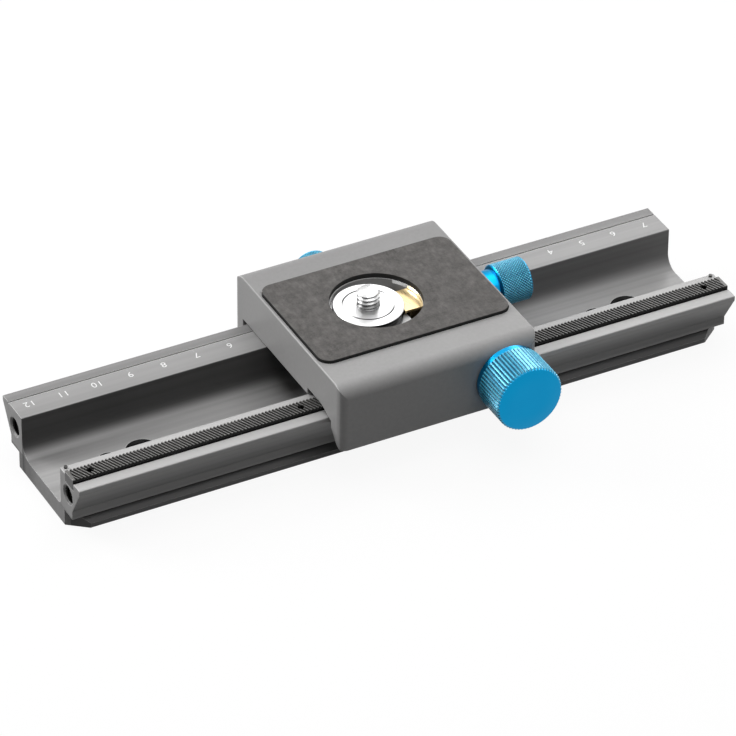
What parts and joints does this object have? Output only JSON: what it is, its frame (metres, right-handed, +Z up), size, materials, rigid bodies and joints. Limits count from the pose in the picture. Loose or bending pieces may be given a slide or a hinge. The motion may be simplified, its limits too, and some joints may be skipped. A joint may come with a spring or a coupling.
{
  "type": "macro focusing rail",
  "caption": "Rack-driven macro focusing rail: a channel rail with slanted flanks, a sliding camera carriage, blue knobs for focus, lock and disc clamp.",
  "frame": {"origin": "middle of the rail's underside", "axes": "+X right along the rail, +Y away from the focus knob, +Z up"},
  "size_m": [0.2, 0.0903, 0.0365],
  "materials": {
    "grey_anodised": "satin hard anodised, neutral grey",
    "blue_anodised": "bright blue anodised, knurled",
    "black_steel": "blackened steel",
    "plain_steel": "turned stainless steel",
    "brass": "bare machined brass",
    "pad_rubber": "matte dark grey, fine grain",
    "black_plastic": "matte black low-friction plastic"
  },
  "bodies": {
    "rail": {"rail": "grey_anodised", "gear_rack": "black_steel", "rack_screws": "black_steel", "stop_pins": "black_steel"},
    "carriage": {"carriage_body": "grey_anodised", "top_pad": "pad_rubber", "front_guide_strip": "black_plastic", "rear_gib": "black_plastic", "gib_screws": "black_steel", "top_glides": "black_plastic", "stop_lugs": "black_steel", "support_plate": "plain_steel", "support_screws": "plain_steel", "fixed_jaw": "plain_steel", "shoe_cover": "plain_steel", "cover_screws": "plain_steel", "clamp_insert": "brass", "lock_insert": "brass", "front_bush": "brass", "inner_bush": "brass"},
    "focus_drive": {"drive_knob": "blue_anodised", "knob_grub_screw": "black_steel", "brake_washer": "black_plastic", "pinion_shaft": "plain_steel", "retaining_ring": "black_steel"},
    "lock_plug": {"lock_shoe": "brass"},
    "lock_handle": {"lock_knob": "blue_anodised", "lock_screw": "plain_steel"},
    "disc_clamp": {"clamp_shoe": "brass", "clamp_pins": "plain_steel"},
    "clamp_handle": {"clamp_screw": "plain_steel", "clamp_knob": "blue_anodised"},
    "camera_plate": {"camera_disc": "plain_steel", "stud_ring": "black_steel"},
    "camera_screw": {"camera_stud": "plain_steel"}
  },
  "joints": [
    {"name": "carriage_travel", "type": "slide", "parent": "rail", "child": "carriage", "axis": [1, 0, 0], "range_m": [-0.0734, 0.0666]},
    {"name": "focus_knob_turn", "type": "hinge", "parent": "carriage", "child": "focus_drive", "pos_m": [0.024, -0.03, 0.0205], "axis": [0, 1, 0], "range_deg": [-1832, 1662]},
    {"name": "lock_plug_travel", "type": "slide", "parent": "carriage", "child": "lock_plug", "axis": [0, -1, 0], "range_m": [0, 0.0007]},
    {"name": "lock_knob_turn", "type": "hinge", "parent": "lock_plug", "child": "lock_handle", "pos_m": [0.0034, 0.035, 0.0139], "axis": [0, -1, 0], "range_deg": [0, 360.1]},
    {"name": "clamp_shoe_travel", "type": "slide", "parent": "carriage", "child": "disc_clamp", "axis": [1, 0, 0], "range_m": [0, 0.0016]},
    {"name": "clamp_knob_turn", "type": "hinge", "parent": "disc_clamp", "child": "clamp_handle", "pos_m": [0.035, 0, 0.0254], "axis": [1, 0, 0], "range_deg": [0, 720.1]},
    {"name": "camera_plate_turn", "type": "hinge", "parent": "carriage", "child": "camera_plate", "pos_m": [-0.00175, 0, 0.03], "axis": [0, 0, 1], "continuous": true},
    {"name": "camera_screw_turn", "type": "hinge", "parent": "camera_plate", "child": "camera_screw", "pos_m": [-0.00175, 0, 0.03], "axis": [0, 0, 1], "continuous": true}
  ],
  "couplings": [
    {"joint": "focus_knob_turn", "follows": "carriage_travel", "rad_per_m": 435.02},
    {"joint": "lock_knob_turn", "follows": "lock_plug_travel", "rad_per_m": 8976},
    {"joint": "clamp_knob_turn", "follows": "clamp_shoe_travel", "rad_per_m": 7854}
  ]
}
